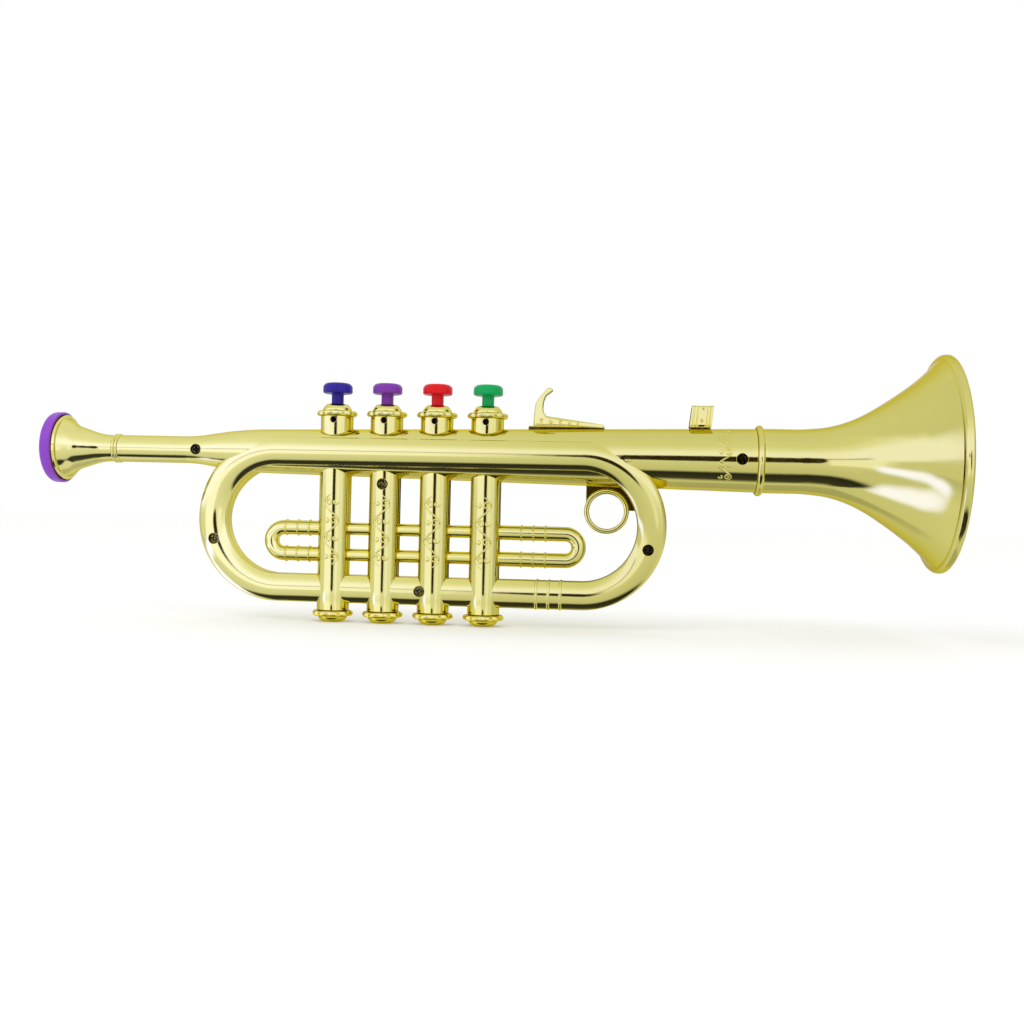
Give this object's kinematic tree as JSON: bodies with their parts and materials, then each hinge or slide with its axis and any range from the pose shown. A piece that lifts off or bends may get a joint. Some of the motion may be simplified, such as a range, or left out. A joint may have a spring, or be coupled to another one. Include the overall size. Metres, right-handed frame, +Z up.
{
  "type": "toy trumpet",
  "caption": "Child's toy trumpet in pale gold metallised plastic: flared bell, oval loop, sprung coloured keys over reeds, and a soft violet mouthpiece rim.",
  "frame": {"origin": "centre of the trumpet's bounding box, mouthpiece rim to bell and bottom caps to bell rim", "axes": "+X along the main tube from the mouthpiece to the bell, +Z up through the keys, -Y towards the side with the screws and the sound holes"},
  "size_m": [0.4202, 0.099, 0.1296],
  "materials": {
    "metallised_gold": "vacuum-metallised pale gold lacquer on moulded plastic, mirror bright",
    "rim_purple": "satin, soft moulded",
    "key_blue": "satin moulded",
    "key_violet": "satin moulded",
    "key_red": "satin moulded",
    "key_green": "satin moulded",
    "seal_rubber": "matt",
    "spring_steel": "bright wire",
    "screw_steel": "blackened",
    "reed_brass": "rolled strip",
    "block_plastic": "as moulded"
  },
  "bodies": {
    "housing": {"body_front": "metallised_gold", "body_rear": "metallised_gold", "bell": "metallised_gold", "mouthpiece_cup": "metallised_gold", "finger_hook": "metallised_gold", "clip_socket": "metallised_gold", "valve_cap_1": "metallised_gold", "valve_cap_2": "metallised_gold", "valve_cap_3": "metallised_gold", "valve_cap_4": "metallised_gold", "bottom_cap_1": "metallised_gold", "bottom_cap_2": "metallised_gold", "bottom_cap_3": "metallised_gold", "bottom_cap_4": "metallised_gold", "mouthpiece_rim": "rim_purple", "key_spring_1": "spring_steel", "reed_1": "reed_brass", "key_spring_2": "spring_steel", "reed_2": "reed_brass", "key_spring_3": "spring_steel", "reed_3": "reed_brass", "key_spring_4": "spring_steel", "reed_4": "reed_brass", "reed_block": "block_plastic", "screw_1": "screw_steel", "screw_2": "screw_steel", "screw_3": "screw_steel", "screw_4": "screw_steel", "screw_5": "screw_steel", "screw_6": "screw_steel"},
    "key_1_body": {"key_1": "key_blue", "key_seal_1": "seal_rubber"},
    "key_2_body": {"key_2": "key_violet", "key_seal_2": "seal_rubber"},
    "key_3_body": {"key_3": "key_red", "key_seal_3": "seal_rubber"},
    "key_4_body": {"key_4": "key_green", "key_seal_4": "seal_rubber"}
  },
  "joints": [
    {"name": "key_1_press", "type": "slide", "parent": "housing", "child": "key_1_body", "axis": [0, 0, -1], "range_m": [0, 0.0048], "stiffness_N_per_m": 250, "springref_m": -0.003, "deforming": ["key_spring_1"]},
    {"name": "key_2_press", "type": "slide", "parent": "housing", "child": "key_2_body", "axis": [0, 0, -1], "range_m": [0, 0.0048], "stiffness_N_per_m": 250, "springref_m": -0.003, "deforming": ["key_spring_2"]},
    {"name": "key_3_press", "type": "slide", "parent": "housing", "child": "key_3_body", "axis": [0, 0, -1], "range_m": [0, 0.0048], "stiffness_N_per_m": 250, "springref_m": -0.003, "deforming": ["key_spring_3"]},
    {"name": "key_4_press", "type": "slide", "parent": "housing", "child": "key_4_body", "axis": [0, 0, -1], "range_m": [0, 0.0048], "stiffness_N_per_m": 250, "springref_m": -0.003, "deforming": ["key_spring_4"]}
  ]
}
